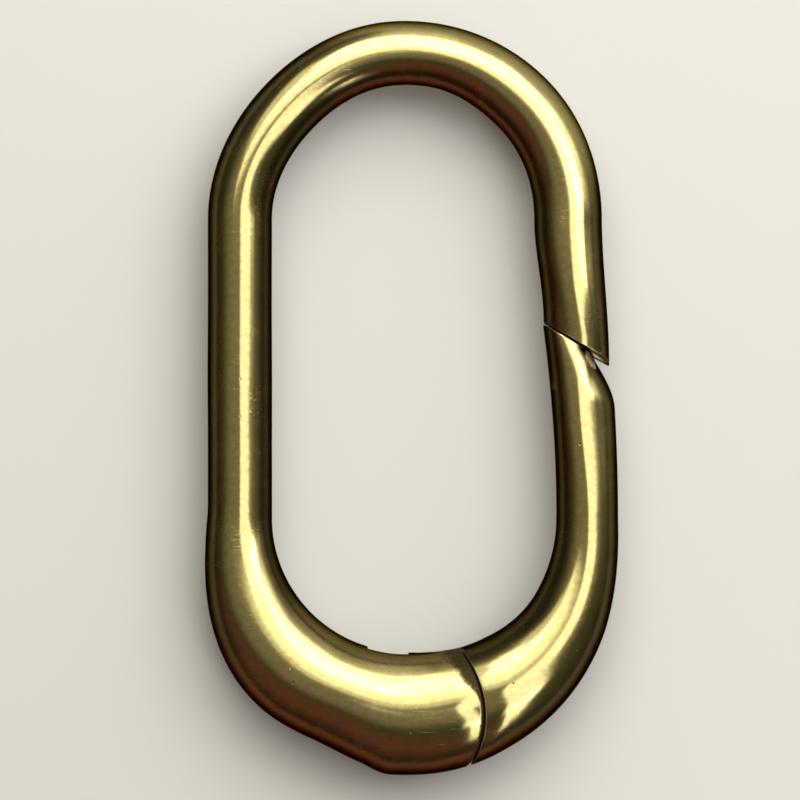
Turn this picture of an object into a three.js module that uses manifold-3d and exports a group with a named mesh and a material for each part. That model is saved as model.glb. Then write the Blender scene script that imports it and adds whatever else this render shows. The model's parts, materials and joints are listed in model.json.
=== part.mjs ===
import * as THREE from 'three';
import { mergeVertices } from 'three/addons/utils/BufferGeometryUtils.js';
import Module from 'manifold-3d';

// Oval spring gate ring: a cast ring, open on one side, whose gap is closed by a curved gate.
// The gate hangs on a pin in the thick end of the ring and swings into the opening.
// A coil spring in a bore of the ring pushes the gate's heel and holds the gate shut.
//
// Lengths are millimetres and angles are degrees. The ring lies flat, and the sketch has the
// centre of the opening at zero, with the hinge at the low end and the gate on the right.
// Round the low bow an angle starts at the left side and grows downwards to the right side.

// Ring
const openingRadius = 10;
const bowSpacing = 22.3;
const barDiameter = 4.8;

// The plain bow is pressed in a little at its upper left and where the short arm starts
const bowDip = 0.3;
const bowDipStart = 95;
const bowDipMiddle = 137;
const bowDipEnd = 180;
const armDip = 0.18;
const armDipEnd = 45;

// Thick hinge end, which the ring swells into and the gate tapers out of
const hingeSwell = 3.13;
const swellStart = -5;
const swellFull = 58;
const bossSwell = 1.25;
const bossStart = 66;
const bossFull = 92;
const swellHeld = 105;
const swellGone = 183;
const hingeDepth = 7.4;
const depthFull = 80;
const pinAcrossBarShare = 0.513;
const pinAngle = 83.6;
const earRadius = 7.3;
const earFall = 0.3;
const earFallInside = 0.3;
const earFallLength = 2.2;
const earRound = 0.15;

// Nose, cut obliquely where the gate's tip meets it, with a lip on its outside
const noseHeight = 3.54;
const noseSlope = 30;
const noseLip = 0.4;
const lipStart = 13.55;
const lipFull = 14;
const noseLean = 0.35;
const noseFall = 0.3;
const noseFallShare = 0.5;
const noseRound = 0.15;

// Gate
const seamGap = 0.3;
const gateStandOff = 1.02;
const gateInset = 1.2;
const insetStart = 85;
const insetFull = 150;
const gateDepth = 4.7;
const gateTaperStart = 98;
const gateTaperEnd = 178;
const gateLeanInside = 0.97;
const gateLeanOutside = 0.45;
const tipShoulder = 1.3;
const tipShoulderStartShare = 0.76;
const tipFall = 0.2;
const tipFallStartShare = 0.72;
const tipRound = 0.15;
const shoulderFall = 0.25;
const shoulderFallLength = 2;
const shoulderRound = 0.15;

// Slot between the ears, and the tongue and heel that turn in it
const slotWidth = 2.4;
const slotSideClearance = 0.1;
const heelRadius = 3.2;
const heelClearance = 0.25;
const stopWallAngle = 104;
const strapFaceAngle = 68;
const tongueRoot = 0.7;
const webTangentAngle = -75;

// Hinge pin
const pinDiameter = 2;
const pinRunningClearance = 0.05;
const pinDriveClearance = 0.01;
const pinBlindDepth = 1.6;
const pinTipGap = 0.1;
const pinChamfer = 0.2;

// Gate spring and its bore
const boreDiameter = 2.3;
const boreSlope = 16;
const boreAbovePin = 1.4;
const drillPointDepth = 0.6;
const springSeatFromPin = 2.1;
const springSeatStepAbovePin = 0.3;
const springDiameter = 2;
const springWire = 0.4;
const springPitch = 0.9;
const springCurls = 7;
const springEndGap = 0.3;

// Counts of facets
const barSides = 32;
const holeSides = 32;
const arcSegments = 24;
const bowStations = 34;
const lowBowStations = 16;
const armStations = 8;
const leftStations = 6;
const seamStations = 8;
const fallStations = 5;
const gateCornerStations = 9;
const gateSideStations = 8;
const uprightStations = 18;
const roundStations = 3;
const stepsPerCurl = 8;
const wireSides = 5;
const capShares = [0.25, 0.5, 0.75];

// One overrun for every cut that goes past the metal
const overrun = 3;

const { degToRad, lerp, smoothstep } = THREE.MathUtils;
const wasm = await Module();
wasm.setup();

const barRadius = barDiameter / 2;
const lowBowHeight = -bowSpacing / 2;
const highBowHeight = bowSpacing / 2;
const barMiddle = openingRadius + barRadius;
const hingeWidth = barDiameter + hingeSwell + bossSwell;
const pinReach = openingRadius + pinAcrossBarShare * hingeWidth;
const gateShoulderRadius = earRadius + seamGap;

// A point of the sketch at a reach from the low bow's centre
function roundLowBow(reach, angle) {
  const turn = degToRad(angle);
  return [-reach * Math.cos(turn), lowBowHeight - reach * Math.sin(turn)];
}

const [pinX, pinY] = roundLowBow(pinReach, pinAngle);

// Extra width on the outside of the bar: it rises on the ring and falls away along the gate
function swellAt(angle) {
  const rise = hingeSwell * smoothstep(angle, swellStart, swellFull);
  const boss = bossSwell * smoothstep(angle, bossStart, bossFull);
  const fall = (hingeSwell + bossSwell - gateStandOff) * smoothstep(angle, swellHeld, swellGone);
  return rise + boss - fall;
}

function ringSection(angle) {
  const inside = openingRadius;
  const outside = openingRadius + barDiameter + swellAt(angle);
  const rise = smoothstep(angle, swellStart, depthFull);
  return {
    middle: (inside + outside) / 2,
    halfWidth: (outside - inside) / 2,
    halfDepth: lerp(barDiameter, hingeDepth, rise) / 2,
  };
}

function gateSection(angle) {
  const inside = openingRadius + gateInset * smoothstep(angle, insetStart, insetFull);
  const outside = openingRadius + barDiameter + swellAt(angle);
  const taper = smoothstep(angle, gateTaperStart, gateTaperEnd);
  return {
    middle: (inside + outside) / 2,
    halfWidth: (outside - inside) / 2,
    halfDepth: lerp(hingeDepth, gateDepth, taper) / 2,
  };
}

// The angle at which a circle round the low bow meets a circle round the pin, on the gate's side
function seamAngle(reach, radius) {
  const cosine = (pinReach ** 2 + reach ** 2 - radius ** 2) / (2 * pinReach * reach);
  return pinAngle + THREE.MathUtils.radToDeg(Math.acos(THREE.MathUtils.clamp(cosine, -1, 1)));
}

// Height of the oblique nose cut above the sketch's centre, or of a line at a distance below it
function noseCut(x, below) {
  const slope = degToRad(noseSlope);
  const lip = noseLip * smoothstep(x + below, lipStart, lipFull);
  return noseHeight - lip - (x - openingRadius) * Math.tan(slope) - below / Math.cos(slope);
}

// A station of a loft is a section and the place of each point of it: place turns a reach into
// a point of the sketch, so that a station can be flat, oblique or curved round the pin.
function flatStation(angle, section) {
  return { ...section(angle), place: (reach) => roundLowBow(reach, angle) };
}

function pinStation(radius, section) {
  const angle = seamAngle(pinReach, radius);
  return { ...section(angle), place: (reach) => roundLowBow(reach, seamAngle(reach, radius)) };
}

function blendStation(angle, radius, share, section) {
  const angleOf = (reach) => lerp(angle, seamAngle(reach, radius), share);
  return { ...section(angleOf(pinReach)), place: (reach) => roundLowBow(reach, angleOf(reach)) };
}

// The stations of a rounded end, from the full section to the smaller one at the end itself.
// The station asked for is the one that lies so far back from the end.
function roundedEnd(stationAt, round) {
  const stations = [];
  for (let step = 0; step <= roundStations; step++) {
    const turn = ((Math.PI / 2) * step) / roundStations;
    const full = stationAt(round * (1 - Math.sin(turn)));
    stations.push({
      ...full,
      halfWidth: full.halfWidth - round * (1 - Math.cos(turn)),
      halfDepth: full.halfDepth - round * (1 - Math.cos(turn)),
    });
  }
  return stations;
}

// The same with a slope before it, on which the faces fall gently towards the end
function slopedEnd(stationAt, slopeLength, round) {
  const slope = [];
  for (let step = 0; step < fallStations; step++) {
    slope.push(stationAt(lerp(slopeLength, round, step / fallStations)));
  }
  return [...slope, ...roundedEnd(stationAt, round)];
}

// A station on the slope towards the hinge's seam: a share of 0 is its start and 1 is the seam
function fallenStation(station, share, fall, fallInside) {
  return {
    ...station,
    middle: station.middle + (fallInside / 2) * share ** 2,
    halfWidth: station.halfWidth - (fallInside / 2) * share ** 2,
    halfDepth: station.halfDepth - fall * share ** 2,
  };
}

function ringOfPoints({ place, middle, halfWidth, halfDepth }, share) {
  const points = [];
  for (let side = 0; side < barSides; side++) {
    const turn = (2 * Math.PI * side) / barSides;
    const [x, y] = place(middle + share * halfWidth * Math.cos(turn));
    points.push(new THREE.Vector3(x, y, share * halfDepth * Math.sin(turn)));
  }
  return points;
}

// Joins rings of points, each with as many points, into one closed skin with a point at each end
function skinOver(rings, firstPoint, lastPoint) {
  const sides = rings[0].length;
  const points = [firstPoint, ...rings.flat(), lastPoint];
  const at = (ring, side) => 1 + ring * sides + (side % sides);
  const faces = [];
  for (let side = 0; side < sides; side++) {
    faces.push(0, at(0, side + 1), at(0, side));
    for (let ring = 0; ring < rings.length - 1; ring++) {
      faces.push(at(ring, side), at(ring, side + 1), at(ring + 1, side));
      faces.push(at(ring, side + 1), at(ring + 1, side + 1), at(ring + 1, side));
    }
    faces.push(points.length - 1, at(rings.length - 1, side), at(rings.length - 1, side + 1));
  }
  let volume = 0;
  for (let first = 0; first < faces.length; first += 3) {
    const [a, b, c] = [points[faces[first]], points[faces[first + 1]], points[faces[first + 2]]];
    volume += a.dot(b.clone().cross(c));
  }
  if (volume < 0) faces.reverse();
  const geometry = new THREE.BufferGeometry().setFromPoints(points);
  geometry.setIndex(faces);
  geometry.computeVertexNormals();
  return geometry;
}

function loft(stations) {
  const first = stations[0];
  const last = stations[stations.length - 1];
  const rings = [
    ...capShares.map((share) => ringOfPoints(first, share)),
    ...stations.map((station) => ringOfPoints(station, 1)),
    ...capShares.toReversed().map((share) => ringOfPoints(last, share)),
  ];
  const endPoint = ({ place, middle }) => new THREE.Vector3(...place(middle), 0);
  return skinOver(rings, endPoint(first), endPoint(last));
}

function solidOf(geometry) {
  const bare = geometry.clone();
  bare.deleteAttribute('normal');
  bare.deleteAttribute('uv');
  const merged = mergeVertices(bare);
  return new wasm.Manifold(new wasm.Mesh({
    numProp: 3,
    vertProperties: new Float32Array(merged.attributes.position.array),
    triVerts: new Uint32Array(merged.index.array),
  }));
}

function geometryOf(solid) {
  const mesh = solid.getMesh();
  const geometry = new THREE.BufferGeometry();
  geometry.setAttribute('position', new THREE.BufferAttribute(mesh.vertProperties, 3));
  geometry.setIndex(new THREE.BufferAttribute(mesh.triVerts, 1));
  geometry.computeVertexNormals();
  return geometry;
}

// Ring body

// Along the short arm a share of 0 is at its nose and a share of 1 is at the plain bow
function armStation(share, back) {
  return {
    middle: barMiddle + lerp(noseLean, -armDip, smoothstep(share, 0, 1)),
    halfWidth: barRadius,
    halfDepth: barRadius - noseFall * Math.max(0, 1 - share / noseFallShare) ** 2,
    place: (reach) => [reach, lerp(noseCut(reach, -back), highBowHeight, share)],
  };
}

// Round the plain bow an angle starts at the short arm and grows to the left side
function bowStation(angle) {
  const turn = degToRad(angle);
  const rise = smoothstep(angle, bowDipStart, bowDipMiddle);
  const fall = smoothstep(angle, bowDipMiddle, bowDipEnd);
  const dip = bowDip * (rise - fall) + armDip * (1 - smoothstep(angle, 0, armDipEnd));
  return {
    middle: barMiddle - dip,
    halfWidth: barRadius,
    halfDepth: barRadius,
    place: (reach) => [reach * Math.cos(turn), highBowHeight + reach * Math.sin(turn)],
  };
}

function earStation(back) {
  const share = 1 - back / earFallLength;
  return fallenStation(pinStation(earRadius - back, ringSection), share, earFall, earFallInside);
}

function ringStations() {
  const stations = roundedEnd((back) => armStation(0, back), noseRound).toReversed();
  for (let step = 1; step < armStations; step++) {
    stations.push(armStation(step / armStations, noseRound));
  }
  for (let step = 0; step <= bowStations; step++) {
    stations.push(bowStation((180 * step) / bowStations));
  }
  for (let step = 1; step <= leftStations; step++) {
    const height = lerp(highBowHeight, lowBowHeight, step / leftStations);
    const angle = -THREE.MathUtils.radToDeg((height - lowBowHeight) / barMiddle);
    stations.push({ ...ringSection(angle), place: (reach) => [-reach, height] });
  }
  for (let step = 1; step <= lowBowStations; step++) {
    stations.push(flatStation((depthFull * step) / lowBowStations, ringSection));
  }
  const start = earRadius - earFallLength;
  for (let step = 1; step < seamStations; step++) {
    stations.push(blendStation(depthFull, start, step / seamStations, ringSection));
  }
  return [...stations, ...slopedEnd(earStation, earFallLength, earRound)];
}

// A plate of the hinge, drawn round the pin as an outline and standing across the ring's middle
function hingePlate(outline, thickness) {
  const plate = new THREE.ExtrudeGeometry(outline, {
    depth: thickness,
    bevelEnabled: false,
    curveSegments: arcSegments,
  });
  return solidOf(plate.translate(pinX, pinY, -thickness / 2));
}

function aroundPin(radius, angle) {
  return new THREE.Vector2(Math.cos(degToRad(angle)), Math.sin(degToRad(angle))).multiplyScalar(radius);
}

// The slot is open at the end and towards the opening. A wall at its back stops the gate, and
// a web closes it on the outside of the ring.
function slotOutline() {
  const pocketRadius = heelRadius + heelClearance;
  const reach = earRadius + overrun;
  const run = Math.sqrt(reach ** 2 - pocketRadius ** 2);
  const webEnd = aroundPin(pocketRadius, webTangentAngle).add(aroundPin(run, webTangentAngle + 90));
  const outline = new THREE.Shape();
  outline.absarc(0, 0, pocketRadius, degToRad(stopWallAngle), degToRad(webTangentAngle + 360), false);
  outline.lineTo(webEnd.x, webEnd.y);
  outline.lineTo(reach, reach);
  outline.lineTo(...aroundPin(reach, stopWallAngle).toArray());
  outline.closePath();
  return outline;
}

// Axis of the spring: a frame at the pin whose Y runs up the bore, away from the gate's heel
const boreFrame = new THREE.Matrix4()
  .makeRotationZ(degToRad(90 - boreSlope))
  .setPosition(pinX, pinY, 0);

const boreEnd = springSeatFromPin + springEndGap * 2 + springWire * 2 + springPitch * springCurls;

function springBore() {
  const radius = boreDiameter / 2;
  const profile = [
    new THREE.Vector2(0, springSeatFromPin),
    new THREE.Vector2(radius, springSeatFromPin),
    new THREE.Vector2(radius, boreEnd),
    new THREE.Vector2(0, boreEnd + drillPointDepth),
  ];
  const bore = new THREE.LatheGeometry(profile, holeSides);
  return solidOf(bore.translate(boreAbovePin, 0, 0).applyMatrix4(boreFrame));
}

// A round bar along the pin's axis between two heights
function pinBar(diameter, low, high, chamfer) {
  const radius = diameter / 2;
  const profile = [
    new THREE.Vector2(0, low),
    new THREE.Vector2(radius, low),
    new THREE.Vector2(radius, high - chamfer),
    new THREE.Vector2(radius - chamfer, high),
    new THREE.Vector2(0, high),
  ];
  const bar = new THREE.LatheGeometry(profile, holeSides);
  return solidOf(bar.rotateX(Math.PI / 2).translate(pinX, pinY, 0));
}

const pinHoleTop = slotWidth / 2 + pinBlindDepth;
const pinLow = -hingeDepth / 2 - overrun;
const ringBlank = solidOf(loft(ringStations()));

function ringBodyGeometry() {
  const slot = hingePlate(slotOutline(), slotWidth);
  const pinHole = pinBar(pinDiameter + 2 * pinDriveClearance, pinLow, pinHoleTop, pinChamfer);
  return geometryOf(ringBlank.subtract(slot).subtract(springBore()).subtract(pinHole));
}

// Gate

// Along the gate's upright stretch a share of 0 is level with the low bow's centre and a share
// of 1 is at the oblique cut of its tip.
function uprightStation(share, back) {
  const lean = share ** 2;
  const rounding = Math.max(0, (share - tipShoulderStartShare) / (1 - tipShoulderStartShare)) ** 2;
  const fallen = Math.max(0, (share - tipFallStartShare) / (1 - tipFallStartShare)) ** 2;
  const inside = openingRadius + gateInset - gateLeanInside * lean;
  const side = openingRadius + barDiameter + swellAt(180);
  const outside = side - gateLeanOutside * lean - tipShoulder * rounding;
  return {
    middle: (inside + outside) / 2,
    halfWidth: (outside - inside) / 2,
    halfDepth: gateDepth / 2 - tipFall * fallen,
    place: (reach) => [reach, lerp(lowBowHeight, noseCut(reach, seamGap + back), share)],
  };
}

function shoulderStation(back) {
  const share = 1 - back / shoulderFallLength;
  return fallenStation(pinStation(gateShoulderRadius + back, gateSection), share, shoulderFall, 0);
}

function gateBarStations() {
  const stations = slopedEnd(shoulderStation, shoulderFallLength, shoulderRound).toReversed();
  const start = gateShoulderRadius + shoulderFallLength;
  for (let step = 1; step <= gateCornerStations; step++) {
    stations.push(blendStation(insetFull, start, 1 - step / gateCornerStations, gateSection));
  }
  for (let step = 1; step <= gateSideStations; step++) {
    stations.push(flatStation(lerp(insetFull, 180, step / gateSideStations), gateSection));
  }
  for (let step = 1; step < uprightStations; step++) {
    stations.push(uprightStation(step / uprightStations, tipRound));
  }
  stations.push(...roundedEnd((back) => uprightStation(1, back), tipRound));
  return stations;
}

// The tongue is a strap from the gate's shoulder to the heel round the pin. The heel is cut
// back flat where the spring pushes it.
function tongueOutline() {
  const run = Math.sqrt(gateShoulderRadius ** 2 - heelRadius ** 2);
  const strapEnd = aroundPin(heelRadius, webTangentAngle).add(aroundPin(run, webTangentAngle + 90));
  const root = gateShoulderRadius + tongueRoot;
  const boreAngle = 180 - boreSlope;
  const seatTop = THREE.MathUtils.radToDeg(Math.acos(springSeatFromPin / heelRadius));
  const seatStep = THREE.MathUtils.radToDeg(Math.asin(springSeatStepAbovePin / heelRadius));
  const seatLow = aroundPin(springSeatFromPin, boreAngle);
  seatLow.add(aroundPin(springSeatStepAbovePin, boreAngle - 90));
  const outline = new THREE.Shape();
  outline.absarc(0, 0, heelRadius, degToRad(strapFaceAngle), degToRad(boreAngle - seatTop), false);
  outline.lineTo(seatLow.x, seatLow.y);
  outline.absarc(0, 0, heelRadius, degToRad(boreAngle - seatStep), degToRad(webTangentAngle + 360), false);
  outline.lineTo(strapEnd.x, strapEnd.y);
  outline.lineTo(strapEnd.x + tongueRoot, strapEnd.y);
  outline.absarc(0, 0, root, strapEnd.angle() - 2 * Math.PI, degToRad(strapFaceAngle), false);
  outline.closePath();
  return outline;
}

function gateGeometry() {
  const envelope = [];
  for (let step = 0; step <= lowBowStations; step++) {
    const angle = lerp(pinAngle / 2, insetFull, step / lowBowStations);
    envelope.push(flatStation(angle, gateSection));
  }
  const tongue = hingePlate(tongueOutline(), slotWidth - 2 * slotSideClearance);
  const runningHole = pinBar(pinDiameter + 2 * pinRunningClearance, pinLow, -pinLow, 0);
  const bar = solidOf(loft(gateBarStations()));
  return geometryOf(bar.add(tongue.intersect(solidOf(loft(envelope)))).subtract(runningHole));
}

// Hinge pin, driven in from the back and ground flush with the ring there

function hingePinGeometry() {
  const bar = pinBar(pinDiameter, pinLow, pinHoleTop - pinTipGap, pinChamfer);
  return geometryOf(bar.intersect(ringBlank));
}

// Gate spring

function springPath() {
  const radius = (springDiameter - springWire) / 2;
  const start = springSeatFromPin + springEndGap;
  const length = 2 * springWire + springPitch * springCurls;
  const places = [{ turn: 0, along: 0 }];
  for (let step = 0; step <= springCurls * stepsPerCurl; step++) {
    const curls = step / stepsPerCurl;
    places.push({ turn: 2 * Math.PI * curls, along: springWire + springPitch * curls });
  }
  places.push({ turn: 2 * Math.PI * springCurls, along: length });
  return places.map(({ turn, along }) => {
    const outwards = new THREE.Vector3(Math.cos(turn), 0, Math.sin(turn));
    const point = outwards.clone().multiplyScalar(radius);
    point.add(new THREE.Vector3(boreAbovePin, start + along, 0));
    return { point, outwards };
  });
}

function gateSpringGeometry() {
  const path = springPath();
  const rings = path.map(({ point, outwards }, index) => {
    const before = path[Math.max(index - 1, 0)].point;
    const after = path[Math.min(index + 1, path.length - 1)].point;
    const along = after.clone().sub(before).normalize();
    const across = along.clone().cross(outwards).normalize();
    const ring = [];
    for (let side = 0; side < wireSides; side++) {
      const turn = (2 * Math.PI * side) / wireSides;
      const spoke = outwards.clone().multiplyScalar(Math.cos(turn));
      spoke.addScaledVector(across, Math.sin(turn)).multiplyScalar(springWire / 2);
      ring.push(point.clone().add(spoke));
    }
    return ring;
  });
  return skinOver(rings, path[0].point, path[path.length - 1].point).applyMatrix4(boreFrame);
}

// Least gap between one curl of the spring and the next, measured on the points of its path
function leastSpringGap() {
  const points = springPath().map(({ point }) => point);
  let least = Infinity;
  points.forEach((point, index) => {
    points.slice(index + stepsPerCurl / 2).forEach((other) => {
      least = Math.min(least, point.distanceTo(other) - springWire);
    });
  });
  return least;
}

console.log(`gate_spring: least gap to itself ${leastSpringGap().toFixed(3)} mm`);

// Assembly

const goldPlate = { color: 0xc8b26a, roughness: 0.14, metalness: 1 };
const platedSteel = { color: 0xbfae78, roughness: 0.22, metalness: 1 };
const springSteel = { color: 0x8d9094, roughness: 0.35, metalness: 1 };

function pieceOf(name, geometry, finish) {
  const mesh = new THREE.Mesh(geometry, new THREE.MeshStandardMaterial(finish));
  mesh.name = name;
  return mesh;
}

const ring = new THREE.Group();
ring.add(
  pieceOf('ring_body', ringBodyGeometry(), goldPlate),
  pieceOf('gate', gateGeometry(), goldPlate),
  pieceOf('hinge_pin', hingePinGeometry(), platedSteel),
  pieceOf('gate_spring', gateSpringGeometry(), springSteel),
);

// The origin is the middle of the underside of the ring as it lies flat
const extent = new THREE.Box3().setFromObject(ring);
const middle = extent.getCenter(new THREE.Vector3());
ring.position.set(-middle.x, -middle.y, -extent.min.z);

const group = new THREE.Group();
group.add(ring);

export default group;
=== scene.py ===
"""An oval spring gate ring in polished gold plate: two castings, a hinge pin and a spring."""

import json
import math
from dataclasses import dataclass
from typing import Callable

import bmesh
import bpy
import numpy as np
from bpy.props import FloatProperty, FloatVectorProperty, IntProperty, PointerProperty
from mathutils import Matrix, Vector, noise


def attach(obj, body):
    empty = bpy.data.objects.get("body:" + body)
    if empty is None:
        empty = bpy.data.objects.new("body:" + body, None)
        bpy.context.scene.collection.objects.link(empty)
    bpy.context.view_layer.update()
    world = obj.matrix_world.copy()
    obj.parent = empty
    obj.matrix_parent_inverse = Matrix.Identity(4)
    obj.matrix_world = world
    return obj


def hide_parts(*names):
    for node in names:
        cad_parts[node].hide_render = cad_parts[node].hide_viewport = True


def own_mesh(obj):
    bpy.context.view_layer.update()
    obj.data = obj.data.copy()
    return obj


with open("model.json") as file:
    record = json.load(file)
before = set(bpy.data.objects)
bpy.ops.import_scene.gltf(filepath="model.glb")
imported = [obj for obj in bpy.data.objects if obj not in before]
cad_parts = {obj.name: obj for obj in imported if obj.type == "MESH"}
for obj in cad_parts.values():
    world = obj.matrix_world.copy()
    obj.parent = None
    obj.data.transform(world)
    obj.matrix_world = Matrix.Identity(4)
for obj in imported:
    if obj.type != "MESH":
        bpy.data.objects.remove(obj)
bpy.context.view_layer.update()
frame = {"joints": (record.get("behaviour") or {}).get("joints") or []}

bl_info = {
    "name": "Spring Gate Ring",
    "version": (1, 0, 0),
    "blender": (4, 5, 0),
    "location": "3D View > Sidebar > Gate Ring",
    "description": "Builds a polished spring gate ring and the studio it lies in",
    "category": "Add Mesh",
}

MM = 0.001
HINGE = next(joint for joint in frame["joints"] if joint["name"] == "gate_hinge")
HINGE_POINT = np.array(HINGE["pos_m"])


# Sizes and colours that a user can change


def length(name, millimetres, description):
    """A length property, with its default written in millimetres."""
    return FloatProperty(
        name=name, description=description, default=millimetres * MM, precision=5, unit="LENGTH"
    )


def angle(name, degrees, description):
    """An angle property, with its default written in degrees."""
    return FloatProperty(
        name=name, description=description, default=math.radians(degrees), subtype="ANGLE"
    )


def share(name, value, description):
    """A share of something else, from nothing to all of it."""
    return FloatProperty(
        name=name, description=description, default=value, min=0, max=1, subtype="FACTOR"
    )


def count(name, value, description):
    """A number of facets or stations."""
    return IntProperty(name=name, description=description, default=value, min=3)


def colour(name, value, description):
    """A colour of light or metal, as the renderer's own red, green and blue."""
    return FloatVectorProperty(
        name=name, description=description, default=value, size=3, min=0, max=1, subtype="COLOR"
    )


def light(name, value, description):
    """Light from a part of the room, which shows as white at a strength of one."""
    return FloatVectorProperty(
        name=name, description=description, default=value, size=3, min=0, subtype="COLOR"
    )


class GATERING_RingSizes(bpy.types.PropertyGroup):
    """Sizes of the ring casting."""

    opening_radius: length("Opening radius", 10, "Inside radius of both bows")
    bow_spacing: length("Bow spacing", 22.3, "Distance between the centres of the two bows")
    bar_diameter: length("Bar diameter", 4.8, "Thickness of the plain bar")
    hinge_swell: length("Hinge swell", 3.13, "Width that the thick end gains on the outside")
    swell_start: angle("Swell start", -5, "Where the bar starts to widen")
    swell_full: angle("Swell full", 58, "Where the thick end is at its full width")
    boss_swell: length("Boss swell", 1.25, "Further width over the hinge")
    boss_start: angle("Boss start", 66, "Where the width over the hinge starts")
    boss_full: angle("Boss full", 92, "Where the width over the hinge is full")
    swell_held: angle("Swell held", 105, "Where the gate starts to fall away from that width")
    swell_gone: angle("Swell gone", 183, "Where the gate has its own width")
    hinge_depth: length("Hinge depth", 7.4, "Depth of the thick end")
    depth_full: angle("Depth full", 80, "Where the thick end is at its full depth")
    bow_dip: length("Bow dip", 0.3, "How far the plain bow is pressed in at its upper left")
    bow_dip_start: angle("Bow dip start", 95, "Where the pressed-in stretch starts")
    bow_dip_middle: angle("Bow dip middle", 137, "Where it is deepest")
    bow_dip_end: angle("Bow dip end", 180, "Where it ends")
    arm_dip: length("Arm dip", 0.18, "How far the bow is drawn in where the short arm starts")
    arm_dip_end: angle("Arm dip end", 45, "Where the bow is drawn in no longer")
    arm_fill: length("Arm fill", 0.26, "How much fuller the bar is inside, towards the arm")
    arm_fill_start: angle("Arm fill start", 78, "Where round the bow that fullness starts")
    arm_fill_full: angle("Arm fill full", 45, "Where it is whole")
    arm_fill_left: share("Arm fill left", 0.3, "Share of it that is left at the nose")
    ear_radius: length("Ear radius", 7.39, "Radius of the ears' rounded end about the pin")
    ear_round: length("Ear round", 0.15, "Rounding of the ears' rim")
    ear_fall: length("Ear fall", 0.3, "How far the ears' faces fall towards the seam")
    ear_fall_inside: length("Ear fall inside", 0.3, "How far their inside draws back there")
    ear_fall_length: length("Ear fall length", 2.2, "Length of that slope")
    nose_height: length("Nose height", 3.54, "Height of the nose cut at the opening")
    nose_slope: angle("Nose slope", 30, "Slope of the nose cut")
    nose_lip: length("Nose lip", 0.4, "How far the nose's outside hangs over the gate's tip")
    lip_start: length("Lip start", 13.55, "Where across the bar the lip starts")
    lip_full: length("Lip full", 14, "Where across the bar it is full")
    nose_round: length("Nose round", 0.1, "Rounding of the nose's rim")
    nose_lean: length("Nose lean", 0.35, "How far the arm leans out at its nose")
    nose_fall: length("Nose fall", 0.3, "How far the arm's faces fall towards the nose")
    nose_fall_share: share("Nose fall share", 0.5, "Share of the arm that the slope takes")
    ripple_height: length("Ripple height", 0.03, "Waves that hand polishing leaves")
    ripple_length: length("Ripple length", 7, "Distance from one wave to the next")


class GATERING_GateSizes(bpy.types.PropertyGroup):
    """Sizes of the gate casting."""

    seam_gap: length("Seam gap", 0.09, "Gap between the gate and the ring")
    stand_off: length("Stand-off", 1.02, "How far the gate's side stands outside the ring's")
    inset: length("Inset", 1.2, "How far its inside is cut back from the ring's inside")
    inset_start: angle("Inset start", 85, "Where the inside starts to be cut back")
    inset_full: angle("Inset full", 150, "Where the inside is fully cut back")
    depth: length("Depth", 4.7, "Depth of its upright stretch")
    taper_start: angle("Taper start", 98, "Where the hinge's depth starts to fall")
    taper_end: angle("Taper end", 178, "Where the depth is the upright's")
    lean_inside: length("Lean inside", 0.97, "How far the inside leans in towards the tip")
    lean_outside: length("Lean outside", 0.45, "How far the outside leans in towards the tip")
    crown: length("Crown", -0.36, "How far the upright's crown lies off its middle")
    crown_full: share("Crown full", 0.65, "Where that is whole")
    tip_shoulder: length("Tip shoulder", 1.3, "How far the tip's outside corner is rounded off")
    tip_shoulder_start: share("Tip shoulder start", 0.76, "Where that rounding starts")
    tip_round: length("Tip round", 0.12, "Rounding of the tip's rim")
    tip_fall: length("Tip fall", 0.2, "How far the faces fall towards the tip")
    tip_fall_start: share("Tip fall start", 0.72, "Where that slope starts")
    shoulder_round: length("Shoulder round", 0.12, "Rounding of the hollow shoulder's rim")
    shoulder_fall: length("Shoulder fall", 0.25, "How far the faces fall towards the shoulder")
    shoulder_fall_length: length("Shoulder fall length", 2, "Length of that slope")
    tongue_root: length("Tongue root", 0.7, "How deep the tongue is rooted in the shoulder")


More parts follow.
